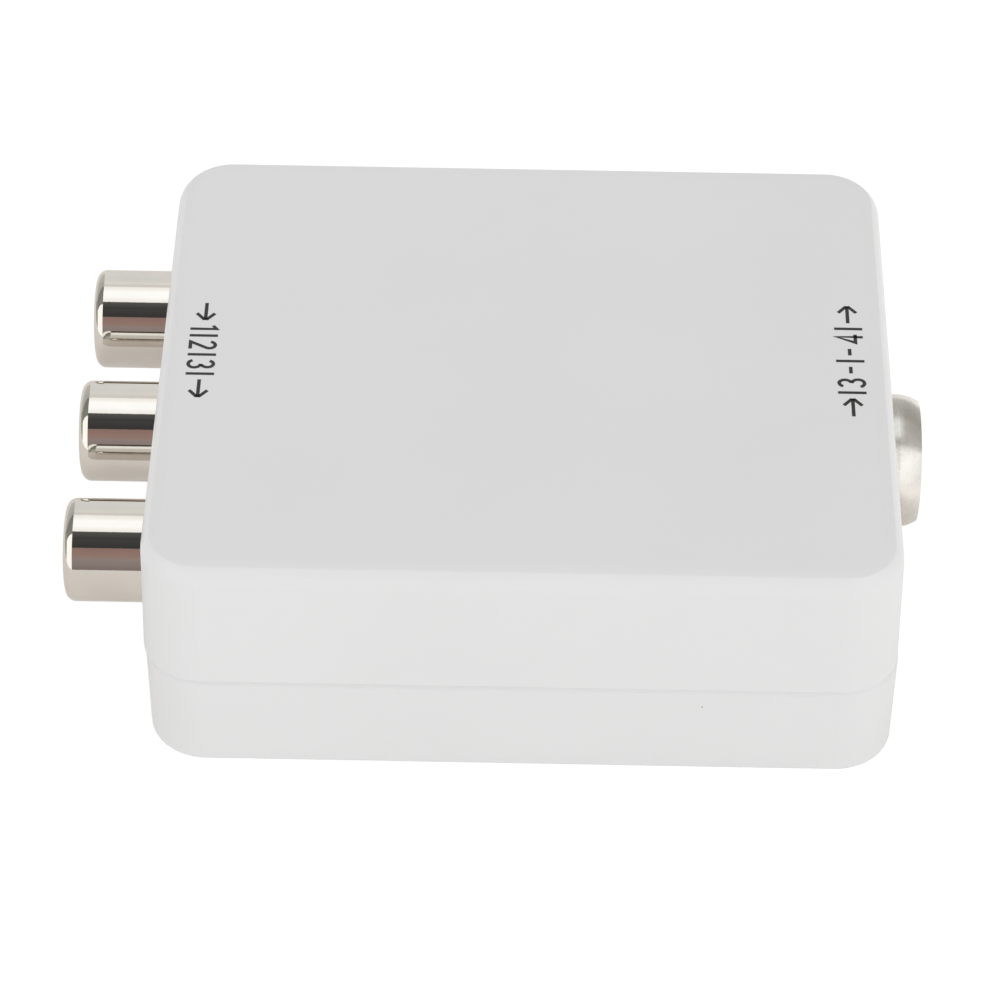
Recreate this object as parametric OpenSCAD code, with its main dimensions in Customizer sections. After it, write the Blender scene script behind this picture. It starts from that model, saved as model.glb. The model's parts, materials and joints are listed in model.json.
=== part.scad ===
// RF modulator: a small two-part plastic box with three phono jacks on its left,
// an aerial socket on its right, and a power inlet and a channel switch at its back.
// The origin is the middle of the underside. +X points to the aerial socket,
// +Y to the power inlet and +Z up. Lengths are in millimetres.

/* [Housing] */
// Length of the housing at the seam
body_w = 60; // [59:0.5:70]
// Depth of the housing at the seam
body_d = 50.8; // [50:0.2:62]
// Height of the housing
body_h = 21; // [20.5:0.25:25]
// Height of the seam between the two covers
seam_z = 8.9; // [8.6:0.1:9.4]
// Radius of the upright corners
corner_r = 4.8; // [3.8:0.1:6]
// Thickness of the side walls
wall = 1.8; // [1.6:0.05:1.9]
// Thickness of the top cover's roof
roof_t = 1.8; // [1.4:0.1:2]
// Thickness of the bottom cover's floor
floor_t = 1.8; // [1.5:0.05:2]
// Radius of the edge round the roof
top_round = 2.25; // [1.8:0.05:3]
// How much higher that edge would rise than the roof, which leaves a faint crease
round_lift = 0.45; // [0.2:0.05:0.6]
// Radius on which the roof falls towards the crease
fall_r = 2.9; // [2.2:0.1:4]
// Width over which the roof falls
fall_w = 0.9; // [0.5:0.05:1.2]
// Radius of the edge round the underside
base_round = 0.2; // [0.1:0.1:0.8]
// Inward lean of the top cover's walls, as a share of their height
top_lean_share = 0.025; // [0:0.005:0.04]
// Inward lean of the bottom cover's walls, as a share of their height
base_lean_share = 0.007; // [0:0.001:0.015]
// How far the bottom cover stands back from the top cover at the seam
seam_step = 0.05; // [0:0.05:0.2]
// How far the bottom cover's outside stands to the right of the top cover's
cover_offset = 0.1; // [0:0.05:0.15]
// Bevel round the rim of the bottom cover
seam_bevel = 0.3; // [0.1:0.05:0.35]
// Height of the shadow gap round the seam
seam_gap = 0.2; // [0.1:0.05:0.3]

/* [Cover joint] */
// Height of the tongue on the bottom cover's rim
tongue_h = 1.5; // [1.3:0.1:2]
// Thickness of the tongue
tongue_t = 0.8; // [0.6:0.05:0.9]
// Clearance between the tongue and its groove
tongue_gap = 0.1; // [0.05:0.05:0.2]
// Length of each snap tooth along the wall
tooth_w = 6; // [3:0.5:8]
// How far a snap tooth stands out of the tongue
tooth_out = 0.35; // [0.2:0.05:0.45]
// Height of a snap tooth
tooth_h = 0.8; // [0.5:0.1:0.9]

/* [Circuit board] */
// Thickness of the circuit board
board_t = 1.6; // [1.2:0.1:1.8]
// Gap between the board's edge and the walls
board_gap = 1.2; // [0.8:0.1:1.6]
// Radius of the board's corners
board_r = 2; // [1:0.25:3]
// Height of the standoffs under the board
standoff_h = 1.2; // [1:0.1:1.4]
// Diameter of the standoffs and of the posts above the board
post_d = 4.4; // [3.6:0.1:5]
// Diameter of the locating pegs
peg_d = 1.6; // [1.2:0.1:2]

/* [Phono jacks] */
// Outer diameter of the barrels
barrel_d = 8.3; // [7.8:0.1:8.8]
// How far the barrels stand out of the left wall
barrel_out = 6.5; // [4.5:0.1:8]
// Sheet thickness of the barrels
barrel_wall = 0.35; // [0.25:0.05:0.5]
// Radius of the rolled rim of the barrels
barrel_round = 0.8; // [0.6:0.05:1]
// Distance between neighbouring jacks, as a share of the housing's depth
jack_pitch_share = 0.2756; // [0.235:0.0005:0.285]
// Height of the jacks' axes above the middle of the space over the board
jack_lift = 0.3; // [0:0.05:0.5]
// Diameter of the hole for the plug's pin
pin_hole_d = 3.3; // [3.2:0.05:3.5]

/* [Aerial socket] */
// Outer diameter of the sleeve, as a share of the housing's height
sleeve_share = 0.524; // [0.5:0.002:0.54]
// Thickness of the sleeve's wall
sleeve_wall = 0.7; // [0.6:0.05:0.9]
// How far the sleeve stands out of the right wall
sleeve_out = 2.5; // [2:0.1:6]
// Radius of the sleeve's crowned end
sleeve_crown_r = 3.4; // [3:0.1:5]
// Length of the sleeve's crowned end
sleeve_crown_l = 1.8; // [1:0.1:1.9]
// Gap between the sleeve and the board
sleeve_lift = 0.3; // [0.2:0.05:0.6]
// Outer diameter of the centre contact
centre_d = 3.4; // [3:0.1:3.8]
// Bore of the centre contact
centre_bore_d = 2.4; // [2.3:0.05:2.6]

/* [Power inlet] */
// Width of the inlet's shell
usb_w = 7.7; // [7:0.1:8]
// Height of the inlet's shell
usb_h = 3.95; // [3.6:0.05:4]
// Depth of the inlet's shell
usb_l = 9.2; // [8:0.1:9.6]
// Distance of the inlet from the middle of the back wall, as a share of the housing's length
usb_share = 0.09; // [0.085:0.001:0.1]

/* [Channel switch] */
// Length of the switch's frame
switch_w = 8.6; // [8.2:0.1:9.4]
// Depth of the switch's frame
switch_d = 4; // [3.8:0.1:4.4]
// Height of the switch's frame
switch_h = 3.6; // [3.4:0.1:3.8]
// Distance of the switch from the middle of the back wall, as a share of the housing's length
switch_share = 0.1335; // [0.12:0.0005:0.16]
// Travel of the slider
switch_travel = 2; // [1:0.1:2]
// Width of the slider's knob
knob_w = 1.6; // [1.2:0.1:1.8]
// Height of the slider's knob
knob_h = 1.4; // [1:0.1:1.6]
// How far the knob stands out of the back wall
knob_out = 1.2; // [0.4:0.1:2]

/* [Hidden] */
$fn = 64;

// Overrun of every cutting shape past the face that it opens
over = 0.4;
// Slip clearance between pieces pressed or slid together inside the housing
slip = 0.03;
// Step of the grid on which places and sizes given as shares are set out
grid_step = 0.05;

// Heights of the covers and plan of the space inside them
top_h = body_h - seam_z;
inner_w = body_w - 2 * wall;
inner_d = body_d - 2 * wall;
inner_r = corner_r - wall;
inner_round = 0.6;
ceiling_z = body_h - roof_t;

// Places of the snap teeth along the front and back walls
front_tooth_share = 0.25;
back_tooth_share = 0.34;
front_tooth_x = grid(body_w * front_tooth_share);
back_tooth_x = grid(body_w * back_tooth_share);
tooth_lift = 0.45;

// Board and its fixings
board_z = floor_t + standoff_h;
board_top = board_z + board_t;
board_w = inner_w - 2 * board_gap;
board_d = inner_d - 2 * board_gap;
fixing_inset_right = 5.4;
fixing_inset_y = 4;
fixing_left_share = 0.04;
peg_gap = 0.1;
peg_h = 2.2;
screw_d = 2;
screw_l = 3.4;
screw_head_d = 3.8;
screw_head_h = 1.3;
screw_head_cone = 0.5;
screw_cross_w = 0.5;
screw_cross_l = 2.2;
screw_cross_deep = 0.7;
press_gap = 0.1;
rib_w = 1;
rib_l = 5;
prop_in = 1.2;
fin_t = 1;
fin_reach = 4.5;
fin_slope = 1.4;
fin_lift = 0.5;
mark_d = 3;
mark_deep = 0.15;
mark_x_share = 0.3;
mark_y_share = 0.27;
mark_x = grid(inner_w * mark_x_share);
mark_y = grid(inner_d * mark_y_share);

// Solder tails and their holes in the board
tail_d = 0.8;
tail_hole_d = 1;
tail_below = 0.8;
strip_t = 0.4;
strip_w = 1.6;
strip_gap = 0.1;

// Phono jacks: block, seats and lugs
barrel_r = barrel_d / 2;
barrel_neck = 0.25;
barrel_neck_out = 0.1;
neck_r = barrel_r - barrel_neck;
neck_bore_r = neck_r - barrel_wall;
jack_z = (board_top + ceiling_z) / 2 + jack_lift;
jack_rise = jack_z - board_top;
jack_pitch = grid(body_d * jack_pitch_share);
jack_ys = [jack_pitch, 0, -jack_pitch];
block_gap = 0.1;
jack_crown = 0.65;
jack_block_over = barrel_r + jack_crown;
jack_block_x = -inner_w / 2 + wall_gap(jack_z + jack_block_over);
jack_block_l = 9.5;
jack_block_w = 10.8;
jack_web_h = 4.4;
jack_block_bevel = 0.8;
jack_seat = 5.5;
jack_end = body_w / 2 + barrel_out + jack_block_x;
neck_end = jack_end - barrel_out + barrel_neck_out;
neck_bore_end = neck_end + barrel_wall;
jack_face_back = 0.3;
jack_pin_bore_l = 3.6;
jack_pin_bevel = 0.35;
jack_contact_t = 0.35;
jack_contact_slot_w = 0.4;
jack_contact_slot_l = 4;
barrel_hole_gap = 0.2;
lug_drop = 0.9;
lug_gap = 0.12;
lug_back = 0.2;
ground_tail_back = 2.4;

// Aerial socket
sleeve_d = grid(body_h * sleeve_share);
sleeve_r = sleeve_d / 2;
sleeve_bore_d = sleeve_d - 2 * sleeve_wall;
sleeve_rise = sleeve_r + sleeve_lift;
sleeve_z = board_top + sleeve_rise;
socket_crown = 0.5;
socket_cheek = 1;
socket_block_over = sleeve_r + socket_crown;
socket_block_x = inner_w / 2 - wall_gap(sleeve_z + socket_block_over);
socket_block_l = 9.5;
socket_block_w = sleeve_d + 2 * socket_cheek;
socket_block_bevel = 1;
sleeve_seat = 7.5;
sleeve_end = body_w / 2 + sleeve_out - socket_block_x;
sleeve_hole_gap = 0.2;
sleeve_lip = 0.15;
disc_t = 2;
disc_hub_d = 5;
disc_hub_h = 1.2;
centre_back = 1.5;
centre_slot_w = 0.4;
centre_slot_l = 5;
strap_t = 0.4;
strap_w = 3;
strap_back = 3;

// Power inlet
usb_x = -grid(body_w * usb_share);
usb_skin = 0.35;
usb_taper = 0.9;
usb_shoulder = 1.7;
usb_wall_back = 0.6;
usb_front_y = body_d / 2 - usb_wall_back;
usb_hole_gap = 0.3;
usb_block_l = 2.6;
usb_tongue_w = 4.6;
usb_tongue_t = 1.1;
usb_tongue_l = 5;
usb_tongue_lift = 1.1;
usb_contact_n = 5;
usb_contact_pitch = 0.8;
usb_contact_w = 0.35;
usb_contact_t = 0.15;
usb_contact_back = 0.3;
usb_foot_l = 1;
usb_leg_l = 1.2;
usb_leg_in = 1.4;
usb_leg_span = 5;

// Channel switch
switch_x = grid(body_w * switch_share);
switch_gap = 0.2;
switch_front_y = inner_d / 2 - switch_gap;
switch_skin = 0.3;
switch_z = board_top + switch_h / 2;
switch_base_t = 1.4;
switch_run_gap = 0.15;
carriage_w = 4.6;
carriage_d = 1.4;
carriage_side_gap = 0.2;
knob_slot_gap = 0.2;
knob_wall_gap = 0.4;
knob_groove_w = 0.3;
knob_groove_deep = 0.25;
wiper_w = 3;
wiper_d = 0.45;
wiper_h = 1.4;
terminal_n = 3;
terminal_pitch = 2;
terminal_out = 0.8;
rest_shift = -switch_travel / 2;

// Shield can and the modulator chip under it
can_w_share = 0.296;
can_d_share = 0.3125;
can_x_share = 0.139;
can_w = grid(board_w * can_w_share);
can_d = grid(board_d * can_d_share);
can_x = grid(board_w * can_x_share);
can_h = 4.6;
can_r = 0.8;
can_skin = 0.25;
can_hole_d = 1.2;
can_hole_pitch = 3.2;
chip_w = 10.3;
chip_d = 7.5;
chip_h = 2.3;
chip_lift = 0.15;
chip_pitch = 1.27;
chip_lead_n = 8;
chip_dot_d = 0.9;
chip_dot_in = 1.2;
chip_dot_deep = 0.1;
lead_w = 0.42;
lead_t = 0.25;
lead_foot = 0.75;
lead_run = 1.35;
lead_rise_share = 0.5;

// Buffer chip, crystal, capacitors, regulator and choke
buffer_w = 4.9;
buffer_d = 3.9;
buffer_h = 1.45;
buffer_lead_n = 4;
buffer_gap_share = 0.13;
buffer_y = -3;
crystal_w = 10.9;
crystal_d = 4.5;
crystal_h = 3.5;
crystal_flange = 0.25;
crystal_flange_t = 0.4;
crystal_gap_share = 0.045;
cap_d = 5;
cap_h = 5.4;
cap_base_w = 5.3;
cap_base_h = 0.8;
cap_base_cut = 1;
cap_seat = 0.4;
cap_groove = 0.25;
cap_groove_h = 0.6;
cap_groove_lift = 1.1;
cap_gap_share = 0.06;
cap_pitch_share = 0.15;
cap_y_share = 0.06;
regulator_w = 6.5;
regulator_d = 3.5;
regulator_h = 1.6;
regulator_lift = 0.1;
regulator_gap = 3;
regulator_lead_w = 0.7;
regulator_tab_w = 3;
regulator_pitch = 2.3;
choke_d = 5.2;
choke_h = 3;
choke_flange_t = 0.6;
choke_waist_d = 2.6;
choke_wire_d = 4.6;
choke_gap = 3;
choke_can_gap = 0.6;
small_w = 2;
small_d = 1.25;
small_h = 0.9;
resistor_h = 0.55;
small_n = 6;
small_pitch_share = 0.052;
small_row_gap_share = 0.025;
small_row_inset_share = 0.045;
small_pitch = grid(board_w * small_pitch_share);

// Places worked out from the pieces that they stand next to
can_left_x = can_x - can_w / 2;
block_right_x = jack_block_x + jack_block_l;
free_w = can_left_x - block_right_x;
cap_x = block_right_x + grid(free_w * cap_gap_share) + cap_base_w / 2;
buffer_x = can_left_x - grid(free_w * buffer_gap_share) - buffer_w / 2;
crystal_y = -can_d / 2 - grid(board_d * crystal_gap_share) - crystal_d / 2;
usb_back_y = usb_front_y - usb_l;
regulator_y = usb_back_y - usb_foot_l - regulator_gap - regulator_d / 2;
choke_x = usb_x + regulator_w / 2 + choke_gap + choke_d / 2;
choke_y = can_d / 2 + choke_can_gap + choke_d / 2;
fixing_left = block_right_x + grid(free_w * fixing_left_share) + post_d / 2;
fixing_right = board_w / 2 - fixing_inset_right;
fixing_y = board_d / 2 - fixing_inset_y;
screw_places = [[fixing_left, -fixing_y], [fixing_right, fixing_y]];
peg_places = [[fixing_left, fixing_y], [fixing_right, -fixing_y]];

// Nearest point of the grid to a length
function grid(x) = round(x / grid_step) * grid_step;

// Gap between a side wall and a block that reaches up to a height inside it
function wall_gap(z) = block_gap + top_lean_share * (z - seam_z);

// Slice of a disc about its centre, from one angle to another
module slice(r, from, to) {
    reach = 2 * r;
    mid = (from + to) / 2;
    intersection() {
        circle(r);
        polygon([
            [0, 0],
            reach * [cos(from), sin(from)],
            reach * [cos(mid), sin(mid)],
            reach * [cos(to), sin(to)]
        ]);
    }
}

// Rectangle with round corners, about its middle
module round_rect(w, d, r) {
    square([w - 2 * r, d], center = true);
    square([w, d - 2 * r], center = true);
    for (turn = [0 : 3]) {
        side = turn % 2 == 0 ? [w, d] : [d, w];
        rotate(90 * turn) translate([side.x / 2 - r, side.y / 2 - r]) slice(r, 0, 90);
    }
}

// Slab with round corners that stands on z = 0
module slab(w, d, r, h) {
    linear_extrude(h) round_rect(w, d, r);
}

// Section of a cover's side, from the corner's axis out to the wall and up to
// the rounded edge; the open rim is at the bottom and may be bevelled
module side_section(rim, lean, depth, edge, bevel_in = 0, bevel_up = 0) {
    arc_z = depth - edge;
    arc_x = rim - lean * arc_z - edge;
    bevelled = [[rim - bevel_in, 0], [rim - lean * bevel_up, bevel_up]];
    foot = bevel_up > 0 ? bevelled : [[rim, 0]];
    polygon(concat(
        [[0, 0]],
        foot,
        [[arc_x + edge, arc_z], [arc_x, arc_z], [arc_x, depth], [0, depth]]
    ));
    translate([arc_x, arc_z]) slice(edge, 0, 90);
}

// The same section under a roof that falls on an arc and meets the edge in a crease
module creased_section(rim, lean, depth, edge, bevel_in, bevel_up) {
    arc_z = depth + round_lift - edge;
    crease_z = depth - fall_r + sqrt(fall_r * fall_r - fall_w * fall_w);
    crease_x = rim - lean * arc_z - edge + sqrt(edge * edge - pow(crease_z - arc_z, 2));
    intersection() {
        side_section(rim, lean, depth + round_lift, edge, bevel_in, bevel_up);
        side_section(grid(crease_x - fall_w) + fall_r, 0, depth, fall_r);
    }
}

// Solid with a plain middle and a given section all round, rim down on z = 0
module ringed_box(w, d, r, depth) {
    span = [w - 2 * r, d - 2 * r];
    translate([-span.x / 2, -span.y / 2, 0]) cube([span.x, span.y, depth]);
    for (turn = [0 : 3]) {
        reach = (turn % 2 == 0 ? span.x : span.y) / 2;
        run = turn % 2 == 0 ? span.y : span.x;
        rotate(90 * turn) translate([reach, run / 2, 0]) {
            rotate([90, 0, 0]) linear_extrude(run) children();
            rotate_extrude(angle = 90) children();
        }
    }
}

// Hollow of a cover, opened past the rim by the overrun
module hollow(w, d, r, lean, depth, edge) {
    spread = lean * over;
    translate([0, 0, -over])
        ringed_box(w + 2 * spread, d + 2 * spread, r + spread, depth + over)
            side_section(r + spread, lean, depth + over, edge);
}

// Turns a shape drawn about +Z to point out of the left wall, at one jack
module at_jack(y) {
    translate([jack_block_x, y, jack_z]) rotate([0, -90, 0]) children();
}

// Turns a shape drawn about +Z to point out of the right wall, at the socket
module at_socket() {
    translate([socket_block_x, 0, sleeve_z]) rotate([0, 90, 0]) children();
}

// Round solder tail through the board
module tail(x, y) {
    translate([x, y, board_z - tail_below]) cylinder(d = tail_d, h = board_t + tail_below);
}

// Hole for a round solder tail
module tail_hole(x, y) {
    translate([x, y, board_z - over]) cylinder(d = tail_hole_d, h = board_t + 2 * over);
}

// Places of the solder tails
signal_tail_x = jack_block_x + jack_seat + strip_t / 2;
ground_tail_x = jack_block_x + ground_tail_back;
centre_tail_x = socket_block_x - sleeve_seat - strip_t / 2;
strap_x = socket_block_x - strap_back - strap_w / 2;
strap_y = socket_block_w / 2 + strap_t / 2;
terminal_y = switch_front_y - switch_d - terminal_out;

// Snap teeth on the tongue, or their pockets where grown by a gap
module snap_teeth(grow) {
    for (side = [-1, 1]) {
        tooth_x = side < 0 ? front_tooth_x : back_tooth_x;
        face_y = inner_d / 2 + tongue_t;
        for (x = [-tooth_x, tooth_x]) {
            translate([x - tooth_w / 2 - grow, 0, seam_z + tooth_lift]) rotate([90, 0, 90])
                linear_extrude(tooth_w + 2 * grow) polygon([
                    [side * (face_y - tongue_t / 2), -grow],
                    [side * face_y, -grow],
                    [side * (face_y + tooth_out + grow), tooth_h / 2],
                    [side * face_y, tooth_h + grow],
                    [side * (face_y - tongue_t / 2), tooth_h + grow]
                ]);
        }
    }
}

// Round holes for the barrels and the sleeve, through either side wall
module connector_holes() {
    for (y = jack_ys) at_jack(y) cylinder(r = barrel_r + barrel_hole_gap, h = jack_end);
    at_socket() cylinder(r = sleeve_r + sleeve_hole_gap, h = sleeve_end);
}

// Straight-sided slots that let the top cover drop over the barrels and the sleeve
module connector_slots() {
    for (y = jack_ys) {
        r = barrel_r + barrel_hole_gap;
        translate([jack_block_x - jack_end, y - r, seam_z - over])
            cube([jack_end, 2 * r, jack_z - seam_z + over]);
    }
    r = sleeve_r + sleeve_hole_gap;
    translate([socket_block_x, -r, seam_z - over])
        cube([sleeve_end, 2 * r, sleeve_z - seam_z + over]);
}

// Slot in the back wall for the knob and its travel
module knob_slot(side_gap, low, high) {
    w = knob_w + switch_travel + 2 * side_gap;
    translate([switch_x - w / 2, inner_d / 2 - switch_gap, low])
        cube([w, wall + switch_gap + over, high - low]);
}

module top_cover() {
    jack_rib_z = jack_z + jack_block_over + press_gap;
    socket_rib_z = sleeve_z + socket_block_over + strap_t + press_gap;
    color("white") difference() {
        union() {
            difference() {
                translate([0, 0, seam_z]) {
                    difference() {
                        ringed_box(body_w, body_d, corner_r, top_h) creased_section(
                            corner_r, top_lean_share, top_h, top_round, seam_step + seam_bevel, seam_gap
                        );
                        hollow(inner_w, inner_d, inner_r, top_lean_share, top_h - roof_t, inner_round);
                    }
                }
                translate([0, 0, seam_z - over]) {
                    grow = tongue_t + tongue_gap;
                    h = tongue_h + tongue_gap + over;
                    slab(inner_w + 2 * grow, inner_d + 2 * grow, inner_r + grow, h);
                }
                snap_teeth(tongue_gap);
            }
            for (y = jack_ys)
                translate([jack_block_x + (jack_block_l - rib_l) / 2, y - rib_w / 2, jack_rib_z])
                    cube([rib_l, rib_w, ceiling_z - jack_rib_z + roof_t / 2]);
            translate([strap_x - rib_l / 2, -rib_w / 2, socket_rib_z])
                cube([rib_l, rib_w, ceiling_z - socket_rib_z + roof_t / 2]);
            for (place = peg_places) {
                translate([place.x, place.y, board_top + press_gap])
                    cylinder(d = post_d, h = ceiling_z - board_top - press_gap + roof_t / 2);
                post_fins(place);
            }
            knob_tab();
        }
        connector_holes();
        connector_slots();
        usb_opening(board_top + usb_h + usb_hole_gap);
        for (place = peg_places) translate([place.x, place.y, board_top])
            cylinder(d = peg_d + 2 * peg_gap, h = peg_h);
        translate([0, 0, ceiling_z - over]) ejector_marks(over + mark_deep);
    }
}

// Fins that tie a post to the roof and to the nearest wall
module post_fins(place) {
    side = sign(place.y);
    top_z = ceiling_z + roof_t / 2;
    translate([place.x, place.y, top_z]) rotate([90, 0, 0]) translate([0, 0, -fin_t / 2])
        linear_extrude(fin_t) polygon([[-fin_reach, 0], [fin_reach, 0], [0, -fin_reach * fin_slope]]);
    low = seam_z + tongue_h + fin_lift;
    wall_y = inner_d / 2 + wall / 2;
    translate([place.x - fin_t / 2, side > 0 ? place.y : -wall_y, low])
        cube([fin_t, wall_y - fixing_y, top_z - low]);
}

// Round marks of the ejector pins, as discs that stand on z = 0
module ejector_marks(h) {
    for (x = [-mark_x, mark_x], y = [-mark_y, mark_y]) translate([x, y, 0])
        cylinder(d = mark_d, h = h);
}

// Tab that closes the knob's slot above the knob
module knob_tab() {
    low = switch_z + knob_h / 2 + knob_wall_gap;
    w = knob_w + switch_travel + 2 * knob_wall_gap - 2 * lug_gap;
    t = wall - tongue_t - tongue_gap - seam_step;
    translate([switch_x - w / 2, body_d / 2 - seam_step - t, low])
        cube([w, t - seam_bevel, seam_z - low + tongue_h]);
}

module bottom_cover() {
    base = [body_w - 2 * seam_step, body_d - 2 * seam_step];
    base_r = corner_r - seam_step;
    pilot_z = board_top - screw_l - press_gap;
    color("white") difference() {
        union() {
            translate([0, 0, seam_z]) mirror([0, 0, 1]) difference() {
                translate([cover_offset, 0, 0]) ringed_box(base.x, base.y, base_r, seam_z)
                    side_section(base_r, base_lean_share, seam_z, base_round, seam_bevel, seam_bevel);
                hollow(inner_w, inner_d, inner_r, base_lean_share, seam_z - floor_t, inner_round);
            }
            translate([0, 0, seam_z - over]) difference() {
                slab(inner_w + 2 * tongue_t, inner_d + 2 * tongue_t, inner_r + tongue_t, tongue_h + over);
                translate([0, 0, -over]) slab(inner_w, inner_d, inner_r, tongue_h + 3 * over);
            }
            snap_teeth(0);
            barrel_lugs();
            for (place = concat(screw_places, peg_places)) translate([place.x, place.y, floor_t / 2])
                cylinder(d = post_d, h = floor_t / 2 + standoff_h);
            for (place = peg_places) translate([place.x, place.y, floor_t])
                cylinder(d = peg_d, h = standoff_h + board_t + peg_h - press_gap);
            board_props();
        }
        translate([0, 0, floor_t - mark_deep]) ejector_marks(mark_deep + over);
        connector_holes();
        usb_opening(seam_z + tongue_h + over);
        knob_slot(knob_wall_gap, switch_z - knob_h / 2 - knob_wall_gap, seam_z + tongue_h + over);
        for (place = screw_places) translate([place.x, place.y, pilot_z])
            cylinder(d = screw_d + 2 * slip, h = board_top - pilot_z);
    }
}

// Ribs under the board that take the push of the plugs, clear of the solder tails
module board_props() {
    for (side = [-1, 1]) {
        translate([jack_block_x + prop_in, side * jack_pitch / 2 - rib_w / 2, floor_t / 2])
            cube([jack_block_l - 2 * prop_in, rib_w, floor_t / 2 + standoff_h]);
        prop_x = socket_block_x - socket_block_l + prop_in;
        translate([prop_x, side * socket_block_w / 4 - rib_w / 2, floor_t / 2])
            cube([socket_block_l - 2 * prop_in, rib_w, floor_t / 2 + standoff_h]);
    }
}

// Lugs that fill the top cover's slots under the barrels
module barrel_lugs() {
    w = barrel_d + 2 * barrel_hole_gap - 2 * lug_gap;
    top = jack_z - lug_drop;
    for (y = jack_ys) translate([-body_w / 2 + lug_back, y - w / 2, seam_z - seam_bevel - over])
        cube([wall - lug_back, w, top - seam_z + seam_bevel + over]);
}

// Opening in the back wall for the power plug, up to a height
module usb_opening(top) {
    w = usb_w + 2 * usb_hole_gap;
    low = board_top - usb_hole_gap;
    translate([usb_x - w / 2, inner_d / 2 - over, low])
        cube([w, wall + 2 * over, top - low]);
}

module circuit_board() {
    color("darkgreen") difference() {
        translate([0, 0, board_z]) slab(board_w, board_d, board_r, board_t);
        for (place = screw_places) translate([place.x, place.y, board_z - over])
            cylinder(d = screw_d + 2 * peg_gap, h = board_t + 2 * over);
        for (place = peg_places) translate([place.x, place.y, board_z - over])
            cylinder(d = peg_d + 2 * peg_gap, h = board_t + 2 * over);
        for (side = [-1, 1]) {
            tail_hole(strap_x, side * strap_y);
            tail_hole(switch_x + side * (switch_w - switch_skin) / 2, switch_front_y - switch_d / 2);
        }
        for (y = jack_ys) {
            tail_hole(signal_tail_x, y);
            tail_hole(ground_tail_x, y);
        }
        tail_hole(centre_tail_x, 0);
        for (i = [0 : terminal_n - 1]) tail_hole(terminal_place(i), terminal_y);
        usb_legs(strip_gap);
    }
}

// Places of the switch's terminals along the back wall
function terminal_place(i) = switch_x + (i - (terminal_n - 1) / 2) * terminal_pitch;

module board_screws() {
    color("silver") for (place = screw_places) translate([place.x, place.y, board_top]) difference() {
        union() {
            cylinder(d = screw_head_d, h = screw_head_h - screw_head_cone);
            translate([0, 0, screw_head_h - screw_head_cone])
                cylinder(d1 = screw_head_d, d2 = screw_head_d - 2 * screw_head_cone, h = screw_head_cone);
            translate([0, 0, -screw_l]) cylinder(d = screw_d, h = screw_l);
        }
        for (turn = [0, 90]) rotate(turn)
            translate([-screw_cross_l / 2, -screw_cross_w / 2, screw_head_h - screw_cross_deep])
                cube([screw_cross_l, screw_cross_w, screw_cross_deep + over]);
    }
}

// Front view of one tower of the jack block, with bevelled top corners
module tower_view(w, h, bevel) {
    polygon([
        [-w / 2, 0], [w / 2, 0], [w / 2, h - bevel], [w / 2 - bevel, h],
        [-w / 2 + bevel, h], [-w / 2, h - bevel]
    ]);
}

module av_jack_block() {
    span = 2 * jack_pitch + jack_block_w;
    tower_h = jack_rise + jack_block_over;
    slot_w = strip_w + 2 * strip_gap;
    slot_h = jack_rise + jack_contact_t + pin_hole_d / 2;
    color("dimgray") difference() {
        union() {
            translate([jack_block_x, -span / 2, board_top]) cube([jack_block_l, span, jack_web_h]);
            for (y = jack_ys) translate([jack_block_x, y, board_top]) rotate([90, 0, 90])
                linear_extrude(jack_block_l) tower_view(jack_block_w, tower_h, jack_block_bevel);
        }
        for (y = jack_ys) {
            at_jack(y) translate([0, 0, -jack_seat]) cylinder(r = neck_r + slip, h = jack_seat + over);
            translate([jack_block_x + jack_seat - slip, y - slot_w / 2, board_top - over])
                cube([jack_block_l - jack_seat + over, slot_w, slot_h + over]);
            translate([ground_tail_x - strip_t / 2 - strip_gap, y - slot_w / 2, board_top - over])
                cube([strip_t + 2 * strip_gap, slot_w, jack_rise + over]);
        }
    }
}

// Drawn sheet-metal barrel with a rim rolled inwards and a neck inside the housing
module jack_barrel(y) {
    bore_r = barrel_r - barrel_wall;
    color("lightgray") at_jack(y) rotate_extrude() {
        polygon([
            [neck_bore_r, -jack_seat], [neck_r, -jack_seat], [neck_r, neck_end], [barrel_r, neck_end],
            [barrel_r, jack_end - barrel_round], [bore_r, jack_end - barrel_round],
            [bore_r, neck_bore_end], [neck_bore_r, neck_bore_end]
        ]);
        translate([barrel_r - barrel_round, jack_end - barrel_round]) difference() {
            slice(barrel_round, 0, 90);
            circle(barrel_round - barrel_wall);
        }
    }
}

// Coloured insulator inside a barrel, with the hole for the plug's pin
module jack_insulator(y, tint) {
    pin_r = pin_hole_d / 2;
    mouth_r = barrel_r - barrel_round - slip;
    body_r = barrel_r - barrel_wall - slip;
    sleeve_hole_r = pin_r + jack_contact_t + slip;
    face = jack_end - jack_face_back;
    color(tint) at_jack(y) rotate_extrude() polygon([
        [pin_r + jack_pin_bevel, face], [mouth_r, face], [mouth_r, jack_end - barrel_round - slip],
        [body_r, jack_end - barrel_round - slip], [body_r, neck_bore_end + slip],
        [neck_bore_r - slip, neck_bore_end + slip], [neck_bore_r - slip, -jack_seat],
        [sleeve_hole_r, -jack_seat], [sleeve_hole_r, face - jack_pin_bore_l],
        [pin_r, face - jack_pin_bore_l], [pin_r, face - jack_pin_bevel]
    ]);
}

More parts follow.
